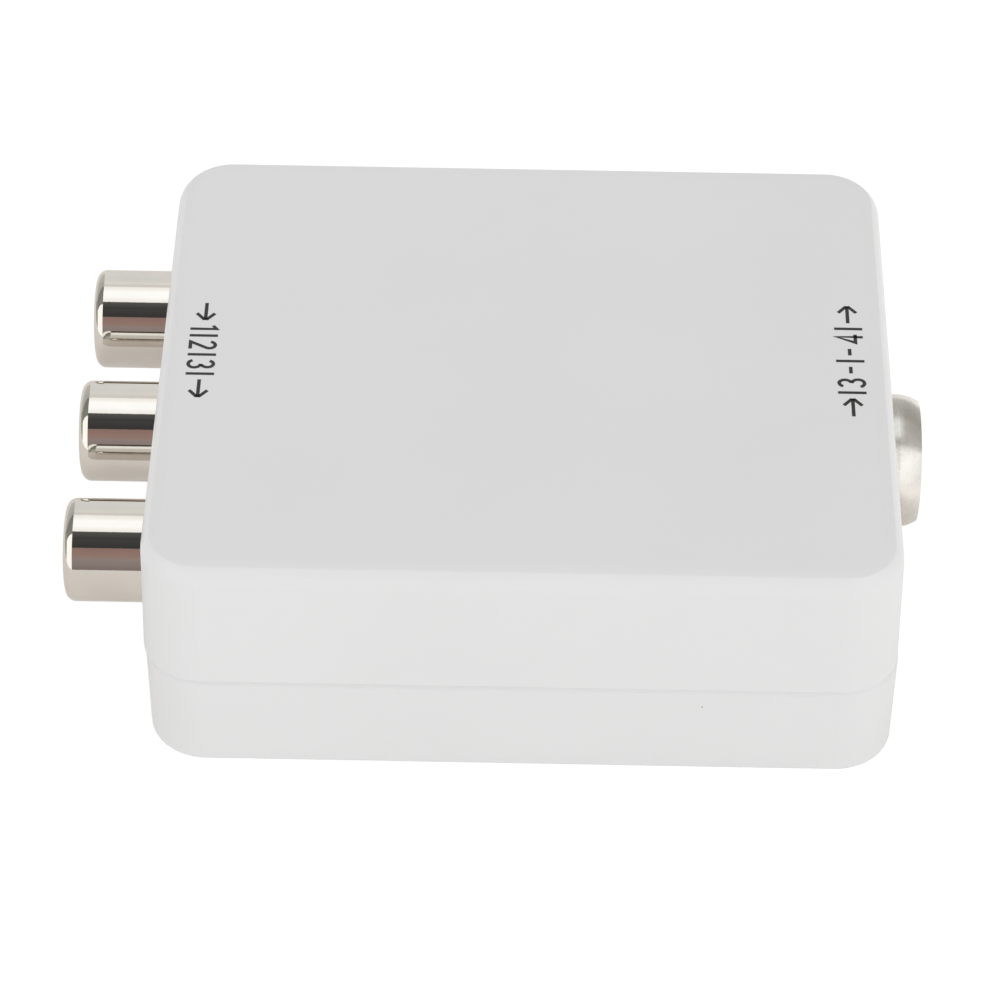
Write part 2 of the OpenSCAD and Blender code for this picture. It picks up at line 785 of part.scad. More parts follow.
// Split spring sleeve that grips the plug's pin, with its strip down to the board
module jack_contact(y) {
    pin_r = pin_hole_d / 2;
    front = jack_end - jack_face_back - jack_pin_bore_l - slip;
    outer_r = pin_r + jack_contact_t;
    color("goldenrod") {
        at_jack(y) difference() {
            union() {
                translate([0, 0, -jack_seat]) cylinder(r = outer_r, h = jack_seat + front);
                translate([0, 0, -jack_seat - strip_t]) cylinder(r = strip_w / 2, h = strip_t);
            }
            translate([0, 0, -jack_seat]) cylinder(r = pin_r, h = jack_seat + front + over);
            for (turn = [0, 90]) rotate(turn)
                translate([-outer_r - over, -jack_contact_slot_w / 2, front - jack_contact_slot_l])
                    cube([2 * (outer_r + over), jack_contact_slot_w, jack_contact_slot_l + over]);
        }
        translate([signal_tail_x - strip_t / 2, y - strip_w / 2, board_top])
            cube([strip_t, strip_w, jack_rise]);
        tail(signal_tail_x, y);
    }
}

module jack_ground_tails() {
    color("silver") for (y = jack_ys) {
        translate([ground_tail_x - strip_t / 2, y - strip_w / 2, board_top])
            cube([strip_t, strip_w, jack_rise - neck_r - slip]);
        tail(ground_tail_x, y);
    }
}

module aerial_socket_block() {
    h = sleeve_rise + socket_block_over;
    slot_w = strip_w + 2 * strip_gap;
    color("dimgray") difference() {
        translate([socket_block_x - socket_block_l, 0, board_top]) rotate([90, 0, 90])
            linear_extrude(socket_block_l) tower_view(socket_block_w, h, socket_block_bevel);
        at_socket() translate([0, 0, -sleeve_seat]) cylinder(r = sleeve_r + slip, h = sleeve_seat + over);
        translate([socket_block_x - socket_block_l - over, -slot_w / 2, board_top - over])
            cube([socket_block_l - sleeve_seat + over + slip, slot_w, sleeve_rise + centre_d / 2 + over]);
    }
}

// Thick sleeve with a crowned end, turned about the socket's axis
module aerial_sleeve() {
    bore_r = sleeve_bore_d / 2;
    arc_z = sleeve_end - sleeve_crown_l;
    color("silver") at_socket() rotate_extrude() {
        translate([bore_r, -sleeve_seat]) square([sleeve_r - bore_r, sleeve_seat + arc_z]);
        intersection() {
            translate([sleeve_r - sleeve_crown_r, arc_z]) circle(sleeve_crown_r);
            polygon([
                [bore_r, arc_z], [sleeve_r + over, arc_z], [sleeve_r + over, sleeve_end],
                [bore_r + sleeve_lip, sleeve_end], [bore_r, sleeve_end - sleeve_lip]
            ]);
        }
    }
}

module aerial_insulator() {
    color("ivory") at_socket() rotate_extrude() {
        hole_r = centre_d / 2 + slip;
        polygon([
            [hole_r, -sleeve_seat], [sleeve_bore_d / 2 - slip, -sleeve_seat],
            [sleeve_bore_d / 2 - slip, disc_t - sleeve_seat], [disc_hub_d / 2, disc_t - sleeve_seat],
            [disc_hub_d / 2, disc_t + disc_hub_h - sleeve_seat], [hole_r, disc_t + disc_hub_h - sleeve_seat]
        ]);
    }
}

// Slotted tube that grips the aerial plug's pin, with its strip down to the board
module aerial_centre_contact() {
    end = sleeve_end - centre_back;
    bore_l = end + sleeve_seat - disc_t;
    color("goldenrod") {
        at_socket() difference() {
            union() {
                translate([0, 0, -sleeve_seat]) cylinder(d = centre_d, h = sleeve_seat + end);
                translate([0, 0, -sleeve_seat - strip_t]) cylinder(d = strip_w, h = strip_t);
            }
            translate([0, 0, end - bore_l]) cylinder(d = centre_bore_d, h = bore_l + over);
            for (turn = [0, 90]) rotate(turn)
                translate([-centre_d / 2 - over, -centre_slot_w / 2, end - centre_slot_l])
                    cube([centre_d + 2 * over, centre_slot_w, centre_slot_l + over]);
        }
        translate([centre_tail_x - strip_t / 2, -strip_w / 2, board_top])
            cube([strip_t, strip_w, sleeve_rise]);
        tail(centre_tail_x, 0);
    }
}

// Sheet strap over the socket block, with a leg through the board on each side
module aerial_strap() {
    h = sleeve_rise + socket_block_over;
    w = socket_block_w + 2 * strap_t;
    color("silver") {
        difference() {
            translate([strap_x - strap_w / 2, 0, board_top]) rotate([90, 0, 90])
                linear_extrude(strap_w) tower_view(w, h + strap_t, socket_block_bevel);
            translate([strap_x - strap_w / 2 - over, 0, board_top - over]) rotate([90, 0, 90])
                linear_extrude(strap_w + 2 * over)
                    tower_view(socket_block_w + 2 * slip, h + over + slip, socket_block_bevel);
        }
        for (side = [-1, 1]) tail(strap_x, side * strap_y);
    }
}

// Front view of the power inlet: straight sides over a tapered foot
module usb_view(inset) {
    half = usb_w / 2 - inset;
    polygon([
        [-half + usb_taper, inset], [half - usb_taper, inset], [half, usb_shoulder],
        [half, usb_h - inset], [-half, usb_h - inset], [-half, usb_shoulder]
    ]);
}

// Prism of the inlet's front view, between two distances behind its front
module usb_prism(inset, from, to) {
    translate([usb_x, usb_front_y - from, board_top]) rotate([90, 0, 0])
        linear_extrude(to - from) usb_view(inset);
}

// The four solder legs of the inlet's shell, or their slots where grown by a gap
module usb_legs(grow) {
    for (side = [-1, 1], back = [usb_leg_in + usb_leg_l, usb_leg_in + usb_leg_l + usb_leg_span])
        translate([
            usb_x + side * (usb_w / 2 - usb_taper) - usb_skin / 2 - grow,
            usb_front_y - back - grow,
            board_z - tail_below - grow
        ]) cube([usb_skin + 2 * grow, usb_leg_l + 2 * grow, board_t + tail_below + 2 * grow]);
}

module power_inlet_shell() {
    color("silver") {
        difference() {
            usb_prism(0, 0, usb_l);
            usb_prism(usb_skin, -over, usb_l + over);
        }
        usb_legs(0);
    }
}

module power_inlet_tongue() {
    color("black") {
        usb_prism(usb_skin + slip, usb_l - usb_block_l, usb_l);
        translate([
            usb_x - usb_tongue_w / 2,
            usb_front_y - usb_l + usb_block_l,
            board_top + usb_tongue_lift
        ]) cube([usb_tongue_w, usb_tongue_l, usb_tongue_t]);
    }
}

module power_inlet_contacts() {
    color("goldenrod") for (i = [0 : usb_contact_n - 1]) {
        x = usb_x + (i - (usb_contact_n - 1) / 2) * usb_contact_pitch - usb_contact_w / 2;
        translate([x, usb_front_y - usb_l + usb_block_l, board_top + usb_tongue_lift + usb_tongue_t])
            cube([usb_contact_w, usb_tongue_l - usb_contact_back, usb_contact_t]);
        translate([x, usb_back_y - usb_contact_t, board_top])
            cube([usb_contact_w, usb_contact_t, usb_tongue_lift]);
        translate([x, usb_back_y - usb_foot_l, board_top])
            cube([usb_contact_w, usb_foot_l - usb_contact_t, usb_contact_t]);
    }
}

module switch_frame() {
    slot_w = knob_w + switch_travel + 2 * knob_slot_gap;
    slot_h = knob_h + 2 * knob_slot_gap;
    inside_w = switch_w - 2 * switch_skin;
    color("silver") {
        difference() {
            translate([switch_x - switch_w / 2, switch_front_y - switch_d, board_top])
                cube([switch_w, switch_d, switch_h]);
            translate([
                switch_x - switch_w / 2 + switch_skin,
                switch_front_y - switch_d - over,
                board_top + switch_skin
            ]) cube([inside_w, switch_d - switch_skin + over, switch_h - 2 * switch_skin]);
            translate([switch_x - slot_w / 2, switch_front_y - switch_skin - over, switch_z - slot_h / 2])
                cube([slot_w, switch_skin + 2 * over, slot_h]);
        }
        for (side = [-1, 1])
            tail(switch_x + side * (switch_w - switch_skin) / 2, switch_front_y - switch_d / 2);
    }
}

module switch_base() {
    w = switch_w - 2 * switch_skin - 2 * slip;
    h = switch_h - 2 * switch_skin - 2 * slip;
    color("saddlebrown") difference() {
        translate([switch_x - w / 2, switch_front_y - switch_d, switch_z - h / 2])
            cube([w, switch_base_t, h]);
        for (i = [0 : terminal_n - 1]) translate([
            terminal_place(i) - strip_t / 2 - slip,
            switch_front_y - switch_d - over,
            switch_z - strip_t / 2 - slip
        ]) cube([strip_t + 2 * slip, switch_base_t + 2 * over, strip_t + 2 * slip]);
    }
}

// Terminals that run out of the base and down through the board
module switch_terminals() {
    front = switch_front_y - switch_d + switch_base_t;
    color("goldenrod") for (i = [0 : terminal_n - 1]) {
        translate([terminal_place(i) - strip_t / 2, terminal_y, switch_z - strip_t / 2])
            cube([strip_t, front - terminal_y, strip_t]);
        translate([terminal_place(i) - strip_t / 2, terminal_y - strip_t / 2, board_top])
            cube([strip_t, strip_t, switch_h / 2 + strip_t / 2]);
        tail(terminal_place(i), terminal_y);
    }
}

// Place of the carriage's front face behind the frame's front plate
carriage_front_y = switch_front_y - switch_skin - switch_run_gap;

module switch_slider() {
    x = switch_x + rest_shift;
    h = switch_h - 2 * switch_skin - 2 * carriage_side_gap;
    knob_end_y = body_d / 2 + knob_out;
    color("black") difference() {
        union() {
            translate([x - carriage_w / 2, carriage_front_y - carriage_d, switch_z - h / 2])
                cube([carriage_w, carriage_d, h]);
            translate([x - knob_w / 2, carriage_front_y - carriage_d / 2, switch_z - knob_h / 2])
                cube([knob_w, knob_end_y - carriage_front_y + carriage_d / 2, knob_h]);
        }
        for (shift = [-1, 0, 1] * knob_w / 4)
            translate([
                x + shift - knob_groove_w / 2,
                knob_end_y - knob_groove_deep,
                switch_z - knob_h / 2 - over
            ]) cube([knob_groove_w, knob_groove_deep + over, knob_h + 2 * over]);
    }
}

module switch_wiper() {
    color("goldenrod") translate([
        switch_x + rest_shift - wiper_w / 2,
        carriage_front_y - carriage_d - wiper_d,
        switch_z - wiper_h / 2
    ]) cube([wiper_w, wiper_d, wiper_h]);
}

module shield_can() {
    color("silver") difference() {
        translate([can_x, 0, board_top]) slab(can_w, can_d, can_r, can_h);
        translate([can_x, 0, board_top - over])
            slab(can_w - 2 * can_skin, can_d - 2 * can_skin, can_r - can_skin, can_h - can_skin + over);
        for (x = [-1, 0, 1] * can_hole_pitch, y = [-1, 0, 1] * can_hole_pitch)
            translate([can_x + x, y, board_top + can_h - can_skin - over])
                cylinder(d = can_hole_d, h = can_skin + 2 * over);
    }
}

// Moulded chip body that stands just off the board, with a dot at its first lead
module chip_body(x, y, w, d, h) {
    color([0.12, 0.12, 0.13]) difference() {
        translate([x - w / 2, y - d / 2, board_top + chip_lift]) cube([w, d, h]);
        translate([
            x - w / 2 + chip_dot_in,
            y - d / 2 + chip_dot_in,
            board_top + chip_lift + h - chip_dot_deep
        ]) cylinder(d = chip_dot_d, h = chip_dot_deep + over);
    }
}

// Two rows of gull-wing leads along a chip's long sides
module chip_leads(x, y, d, h, count) {
    rise = chip_lift + h * lead_rise_share;
    color("silver") for (i = [0 : count - 1], side = [0, 180])
        translate([x, y, board_top]) rotate(side)
            translate([(i - (count - 1) / 2) * chip_pitch - lead_w / 2, 0, 0])
                rotate([90, 0, 90]) linear_extrude(lead_w) polygon([
                    [d / 2 + lead_run, 0], [d / 2 + lead_run, lead_t],
                    [d / 2 + lead_run - lead_foot + lead_t, lead_t],
                    [d / 2 + lead_run - lead_foot + lead_t, rise],
                    [d / 2, rise], [d / 2, rise - lead_t],
                    [d / 2 + lead_run - lead_foot, rise - lead_t],
                    [d / 2 + lead_run - lead_foot, 0]
                ]);
}

module modulator_chip() {
    chip_body(can_x, 0, chip_w, chip_d, chip_h);
}

module modulator_chip_leads() {
    chip_leads(can_x, 0, chip_d, chip_h, chip_lead_n);
}

module buffer_chip() {
    chip_body(buffer_x, buffer_y, buffer_w, buffer_d, buffer_h);
}

module buffer_chip_leads() {
    chip_leads(buffer_x, buffer_y, buffer_d, buffer_h, buffer_lead_n);
}

// Outline with half-round ends
module stadium(w, d) {
    square([w - d, d], center = true);
    translate([(w - d) / 2, 0]) slice(d / 2, -90, 90);
    translate([-(w - d) / 2, 0]) slice(d / 2, 90, 270);
}

module crystal_can() {
    color("silver") translate([can_x, crystal_y, board_top]) {
        linear_extrude(crystal_flange_t)
            stadium(crystal_w + 2 * crystal_flange, crystal_d + 2 * crystal_flange);
        translate([0, 0, crystal_flange_t]) linear_extrude(crystal_h - crystal_flange_t)
            stadium(crystal_w, crystal_d);
    }
}

// Places of the capacitors in their row behind the jack block
cap_y = grid(board_d * cap_y_share);
cap_pitch = grid(board_d * cap_pitch_share);
cap_ys = [cap_y + cap_pitch, cap_y, cap_y - cap_pitch];

module capacitor_cans() {
    r = cap_d / 2;
    bottom = cap_base_h - cap_seat + slip;
    color("silver") for (y = cap_ys) translate([cap_x, y, board_top]) difference() {
        translate([0, 0, bottom]) cylinder(r = r, h = cap_h - bottom);
        translate([0, 0, bottom + cap_groove_lift]) difference() {
            cylinder(r = r + over, h = cap_groove_h);
            translate([0, 0, -over]) cylinder(r = r - cap_groove, h = cap_groove_h + 2 * over);
        }
    }
}

module capacitor_bases() {
    half = cap_base_w / 2;
    color([0.1, 0.1, 0.1]) for (y = cap_ys) translate([cap_x, y, board_top]) difference() {
        linear_extrude(cap_base_h) polygon([
            [-half, -half], [half - cap_base_cut, -half], [half, -half + cap_base_cut],
            [half, half - cap_base_cut], [half - cap_base_cut, half], [-half, half]
        ]);
        translate([0, 0, cap_base_h - cap_seat]) cylinder(r = cap_d / 2 + slip, h = cap_seat + over);
    }
}

module regulator_body() {
    color([0.12, 0.12, 0.13]) translate([
        usb_x - regulator_w / 2, regulator_y - regulator_d / 2, board_top + regulator_lift
    ]) cube([regulator_w, regulator_d, regulator_h]);
}

module regulator_leads() {
    color("silver") translate([usb_x, regulator_y, board_top]) {
        for (i = [-1, 0, 1])
            translate([i * regulator_pitch - regulator_lead_w / 2, -regulator_d / 2 - lead_run, 0])
                cube([regulator_lead_w, lead_run, lead_t]);
        for (i = [-1, 0, 1])
            translate([i * regulator_pitch - regulator_lead_w / 2, -regulator_d / 2 - lead_t, lead_t])
                cube([regulator_lead_w, lead_t, regulator_h * lead_rise_share]);
        translate([-regulator_tab_w / 2, regulator_d / 2, 0]) cube([regulator_tab_w, lead_run, lead_t]);
        translate([-regulator_tab_w / 2, regulator_d / 2, lead_t])
            cube([regulator_tab_w, lead_t, regulator_h * lead_rise_share]);
    }
}

module choke_core() {
    color([0.2, 0.2, 0.22]) translate([choke_x, choke_y, board_top]) {
        cylinder(d = choke_d, h = choke_flange_t);
        cylinder(d = choke_waist_d, h = choke_h);
        translate([0, 0, choke_h - choke_flange_t]) cylinder(d = choke_d, h = choke_flange_t);
    }
}

module choke_winding() {
    h = choke_h - 2 * choke_flange_t - 2 * slip;
    color("orangered") translate([choke_x, choke_y, board_top + choke_flange_t + slip]) difference() {
        cylinder(d = choke_wire_d, h = h);
        translate([0, 0, -over]) cylinder(d = choke_waist_d + 2 * slip, h = h + 2 * over);
    }
}

// Row of small chip parts along the front edge of the board
module small_row(row, h) {
    row_pitch = small_w + grid(board_d * small_row_gap_share);
    y = -board_d / 2 + grid(board_d * small_row_inset_share) + row * row_pitch;
    for (i = [0 : small_n - 1]) translate([
        can_x + (i - (small_n - 1) / 2) * small_pitch - small_d / 2, y - small_w / 2, board_top
    ]) cube([small_d, small_w, h]);
}

module ceramic_capacitors() {
    color("tan") small_row(1, small_h);
}

module chip_resistors() {
    color([0.15, 0.15, 0.16]) small_row(0, resistor_h);
}

module video_jack_barrel() {
    jack_barrel(jack_ys[0]);
}

module left_jack_barrel() {
    jack_barrel(jack_ys[1]);
}

module right_jack_barrel() {
    jack_barrel(jack_ys[2]);
}

module video_jack_insulator() {
    jack_insulator(jack_ys[0], "gold");
}

module left_jack_insulator() {
    jack_insulator(jack_ys[1], "white");
}

module right_jack_insulator() {
    jack_insulator(jack_ys[2], "red");
}

module video_jack_contact() {
    jack_contact(jack_ys[0]);
}

module left_jack_contact() {
    jack_contact(jack_ys[1]);
}

module right_jack_contact() {
    jack_contact(jack_ys[2]);
}

top_cover();
bottom_cover();
circuit_board();
board_screws();
av_jack_block();
video_jack_barrel();
left_jack_barrel();
right_jack_barrel();
video_jack_insulator();
left_jack_insulator();
right_jack_insulator();
video_jack_contact();
left_jack_contact();
right_jack_contact();
jack_ground_tails();
aerial_socket_block();
aerial_sleeve();
aerial_insulator();
aerial_centre_contact();
aerial_strap();
power_inlet_shell();
power_inlet_tongue();
power_inlet_contacts();
switch_frame();
switch_base();
switch_terminals();
switch_slider();
switch_wiper();
shield_can();
modulator_chip();
modulator_chip_leads();
buffer_chip();
buffer_chip_leads();
crystal_can();
capacitor_cans();
capacitor_bases();
regulator_body();
regulator_leads();
choke_core();
choke_winding();
ceramic_capacitors();
chip_resistors();
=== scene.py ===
"""Looks of the rf modulator: materials, print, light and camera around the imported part."""
import json
import math

import bmesh
import bpy
from mathutils import Matrix, Vector


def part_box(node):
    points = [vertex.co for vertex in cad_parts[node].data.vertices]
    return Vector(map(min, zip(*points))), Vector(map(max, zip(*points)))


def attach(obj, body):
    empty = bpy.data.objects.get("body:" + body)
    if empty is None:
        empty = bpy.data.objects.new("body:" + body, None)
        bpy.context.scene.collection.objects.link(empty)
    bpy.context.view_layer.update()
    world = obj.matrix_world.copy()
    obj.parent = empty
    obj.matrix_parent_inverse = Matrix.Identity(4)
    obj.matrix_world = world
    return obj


MM = 0.001

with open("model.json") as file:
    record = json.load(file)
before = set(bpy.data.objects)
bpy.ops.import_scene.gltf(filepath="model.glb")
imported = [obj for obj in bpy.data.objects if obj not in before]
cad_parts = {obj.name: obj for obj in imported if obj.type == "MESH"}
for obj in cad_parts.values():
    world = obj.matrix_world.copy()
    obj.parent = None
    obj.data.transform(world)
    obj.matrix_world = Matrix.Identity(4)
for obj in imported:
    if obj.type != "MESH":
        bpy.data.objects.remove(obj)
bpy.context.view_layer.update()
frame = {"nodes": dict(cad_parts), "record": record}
nodes = frame["nodes"]
record = frame["record"]

# Camera: place in millimetres, turn in degrees, and a focal length in pixels of the photograph
IMAGE_PX = 1001
CAMERA_AT = (0.5, -248.5, 244.0)
CAMERA_YAW = -0.559
CAMERA_PITCH = 43.881
CAMERA_ROLL = 0.623
FOCAL_PX = 4110.8
SENSOR_MM = 36.0
CLIP_START = 0.01
CLIP_END = 20.0

# Light: the sky is brighter at the horizon than overhead. Two weak soft suns help it, each with
# its strength, its elevation and its azimuth from the front towards the right, in degrees
SKY_HORIZON = 1.47
SKY_ZENITH = 0.50
SKY_MIRRORED = (0.78, 0.78, 0.765)
SUNS = [("key", 0.34, 25.0, 30.0), ("fill", 0.18, 15.0, -120.0)]
SUN_SOFTNESS = 50.0
WHITE_LIGHT = (1.0, 1.0, 1.0, 1.0)

# Floor: its size in metres, its colour, the colour that mirrors see in it and its painted glint
# (a glow of the floor that only mirrored rays see), with the glint growing from one place along X
# to another, and how bright the camera sees it
FLOOR_SIZE = 6.0
FLOOR_COLOUR = (0.90, 0.90, 0.895)
FLOOR_MIRRORED = (0.90, 0.86, 0.825)
FLOOR_GLINT = 0.36
FLOOR_GLINT_FROM = 0.030
FLOOR_GLINT_TO = 0.045
FLOOR_SEEN_SHARE = 0.31
FLOOR_SEEN_GLOW = 0.82

# Studio cards on a drum round the X axis that only reflections see. Each has its ends
# along X in metres, its angles in degrees from the front horizon over the top, and the
# colours at those angles
DRUM_RADIUS = 0.5
DRUM_STEP = 3.0
DRUM_LEFT = -1.2
DRUM_RIGHT = 1.2
SLOT_LEFT = -0.14
SLOT_RIGHT = 0.045
WHITE_RIGHT = 0.13
CARDS = [
    (SLOT_LEFT, SLOT_RIGHT, -1, 8, (0.24, 0.20, 0.195), (0.27, 0.22, 0.21)),
    (SLOT_LEFT, SLOT_RIGHT, 8, 26, (0.28, 0.235, 0.225), (0.33, 0.27, 0.265)),
    (SLOT_LEFT, SLOT_RIGHT, 26, 48, (0.36, 0.25, 0.22), (0.31, 0.20, 0.175)),
    (SLOT_LEFT, SLOT_RIGHT, 48, 67, (0.045, 0.045, 0.045), (0.065, 0.065, 0.065)),
    (SLOT_LEFT, SLOT_RIGHT, 67, 83.5, (0.05, 0.05, 0.05), (0.11, 0.11, 0.105)),
    (SLOT_LEFT, WHITE_RIGHT, 83.5, 95, (1.10, 1.09, 1.07), (1.23, 1.25, 1.26)),
    (SLOT_LEFT, WHITE_RIGHT, 95, 112, (1.25, 1.28, 1.30), (1.25, 1.28, 1.30)),
    (SLOT_LEFT, WHITE_RIGHT, 112, 124, (1.21, 1.22, 1.22), (1.05, 1.04, 1.02)),
    (SLOT_LEFT, SLOT_RIGHT, 124, 130, (0.76, 0.73, 0.71), (0.79, 0.77, 0.74)),
    (SLOT_LEFT, SLOT_RIGHT, 130, 150, (0.87, 0.86, 0.84), (0.79, 0.79, 0.77)),
    (SLOT_LEFT, SLOT_RIGHT, 150, 181, (0.79, 0.79, 0.78), (0.80, 0.80, 0.80)),
    (DRUM_LEFT, SLOT_LEFT, -2, 78, (1.25, 1.25, 1.22), (1.25, 1.25, 1.22)),
    (DRUM_LEFT, SLOT_LEFT, 78, 125, (0.26, 0.27, 0.25), (0.22, 0.23, 0.21)),
    (DRUM_LEFT, SLOT_LEFT, 125, 181, (0.45, 0.45, 0.43), (0.60, 0.60, 0.58)),
    (SLOT_RIGHT, DRUM_RIGHT, -2, 10, (1.05, 1.04, 1.02), (1.30, 1.30, 1.29)),
    (SLOT_RIGHT, DRUM_RIGHT, 10, 68, (1.35, 1.35, 1.34), (1.35, 1.35, 1.34)),
    (SLOT_RIGHT, DRUM_RIGHT, 68, 80, (0.55, 0.54, 0.52), (0.48, 0.47, 0.45)),
    (WHITE_RIGHT, DRUM_RIGHT, 80, 124, (0.60, 0.58, 0.56), (0.50, 0.49, 0.46)),
    (SLOT_RIGHT, DRUM_RIGHT, 124, 181, (0.42, 0.41, 0.38), (0.60, 0.59, 0.56)),
]
CAP_LEFT = (0.36, 0.35, 0.33)
CAP_RIGHT = (0.42, 0.42, 0.40)
CAP_STEP = 6

# White plastic: its colour, how far that wavers, its roughness, and the dust specks in it,
# as cells in a millimetre and the radii between which a speck fades
WHITE = (0.767, 0.767, 0.767)
WHITE_WAVER = 0.008
WHITE_ROUGH = (0.30, 0.36)
WHITE_SPECULAR = 0.2
SPECK_COLOUR = (0.25, 0.24, 0.23)
SPECK_CELLS = 0.14
SPECK_FADE = (0.008, 0.016)

# Noise stays mostly between these two values
NOISE_LOW = 0.3
NOISE_HIGH = 0.7

# Sockets of the mix node that blends colours
MIX_SHARE, MIX_A, MIX_B, MIX_COLOUR = 0, 6, 7, 2


# Node helpers
def new_material(name):
    mat = bpy.data.materials.new(name)
    mat.use_nodes = True
    mat.node_tree.nodes.clear()
    return mat


def add(tree, kind, inputs=None, **settings):
    """Adds a node, sets its properties, and sets or links its inputs."""
    made = tree.nodes.new(kind)
    for key, value in settings.items():
        setattr(made, key, value)
    for key, value in (inputs or {}).items():
        if isinstance(value, bpy.types.NodeSocket):
            tree.links.new(value, made.inputs[key])
        else:
            made.inputs[key].default_value = value
    return made


def feed(tree, socket, value):
    """Links a socket to another one, or sets it to a number or a colour."""
    if isinstance(value, bpy.types.NodeSocket):
        tree.links.new(value, socket)
    else:
        socket.default_value = value if isinstance(value, float) else (*value, 1.0)


def millimetres(tree):
    """The point on the part, in millimetres."""
    coords = add(tree, "ShaderNodeTexCoord")
    scaled = add(tree, "ShaderNodeVectorMath", {0: coords.outputs["Object"]}, operation="SCALE")
    scaled.inputs["Scale"].default_value = 1 / MM
    return scaled.outputs[0]


def noise(tree, point, size, detail=2.0, rough=0.5, stretch=(1, 1, 1)):
    """Noise from 0 to 1 with features of a size in millimetres, drawn out along the axes."""
    scale = tuple(1 / (size * share) for share in stretch)
    mapped = add(tree, "ShaderNodeMapping", {"Vector": point, "Scale": scale})
    made = add(tree, "ShaderNodeTexNoise", {
        "Vector": mapped.outputs[0], "Scale": 1.0, "Detail": detail, "Roughness": rough})
    return made.outputs["Fac"]


def remap(tree, value, low, high, from_low=NOISE_LOW, from_high=NOISE_HIGH):
    """Spreads a value over another range, and holds it there."""
    made = add(tree, "ShaderNodeMapRange", {
        "Value": value, "From Min": from_low, "From Max": from_high, "To Min": low, "To Max": high})
    return made.outputs[0]


def blend(tree, share, a, b):
    """Colour a where share is 0 and b where it is 1."""
    made = add(tree, "ShaderNodeMix", data_type="RGBA")
    for place, value in ((MIX_SHARE, share), (MIX_A, a), (MIX_B, b)):
        feed(tree, made.inputs[place], value)
    return made.outputs[MIX_COLOUR]


def times(colour, share):
    """A colour made darker or lighter."""
    return tuple(c * share for c in colour)


def shader_output(tree, shader):
    """Makes a shader the surface of its material."""
    out = add(tree, "ShaderNodeOutputMaterial")
    tree.links.new(shader.outputs[0], out.inputs[0])


def finish_material(mat, colour, roughness, relief, relief_mm, metallic=0.0, specular=0.5):
    """Closes a material: a shader with its colour, roughness and fine relief."""
    tree = mat.node_tree
    shader = add(tree, "ShaderNodeBsdfPrincipled")
    shader.inputs["Metallic"].default_value = metallic
    shader.inputs["Specular IOR Level"].default_value = specular
    feed(tree, shader.inputs["Base Color"], colour)
    feed(tree, shader.inputs["Roughness"], roughness)
    bump = add(tree, "ShaderNodeBump", {
        "Height": relief, "Strength": 1.0, "Distance": relief_mm * MM})
    feed(tree, shader.inputs["Normal"], bump.outputs[0])
    shader_output(tree, shader)
    return mat


def moulded(name, colour, roughness, grain_mm=0.35, relief_mm=0.004, spread=0.03):
    """Moulded plastic: a faint cloud in the colour, and a fine even grain."""
    mat = new_material(name)
    tree = mat.node_tree
    point = millimetres(tree)
    cloud = remap(tree, noise(tree, point, 9.0), 0.0, 1.0)
    tone = blend(tree, cloud, times(colour, 1 - spread), times(colour, 1 + spread))
    grain = noise(tree, point, grain_mm, 4.0, 0.6)
    rough = remap(tree, grain, roughness * 0.88, roughness * 1.12)
    return finish_material(mat, tone, rough, grain, relief_mm)


def plated(name, colour, roughness, grain_mm=0.2, relief_mm=0.0008, spread=0.05,
           stretch=(1, 1, 1)):
    """Plated or bare metal: a faint stain in the colour, and a fine grain that may run one way."""
    mat = new_material(name)
    tree = mat.node_tree
    point = millimetres(tree)
    stain = remap(tree, noise(tree, point, 2.5, 3.0), 0.0, 1.0)
    tone = blend(tree, stain, times(colour, 1 - spread), colour)
    grain = noise(tree, point, grain_mm, 3.0, 0.6, stretch)
    rough = remap(tree, grain, roughness * 0.8, roughness * 1.25)
    return finish_material(mat, tone, rough, grain, relief_mm, metallic=1.0)


def white_abs():
    """Satin white plastic with a few tiny dust specks set in it."""
    mat = new_material("white_abs")
    tree = mat.node_tree
    point = millimetres(tree)
    cloud = remap(tree, noise(tree, point, 16.0), 0.0, 1.0)
    tone = blend(tree, cloud, times(WHITE, 1 - WHITE_WAVER), times(WHITE, 1 + WHITE_WAVER))
    cells = add(tree, "ShaderNodeTexVoronoi", {"Vector": point, "Scale": SPECK_CELLS})
    near = remap(tree, cells.outputs["Distance"], 1.0, 0.0, *SPECK_FADE)
    tone = blend(tree, near, tone, SPECK_COLOUR)
    grain = noise(tree, point, 0.3, 4.0, 0.6)
    rough = remap(tree, grain, *WHITE_ROUGH)
    return finish_material(mat, tone, rough, grain, 0.002, specular=WHITE_SPECULAR)


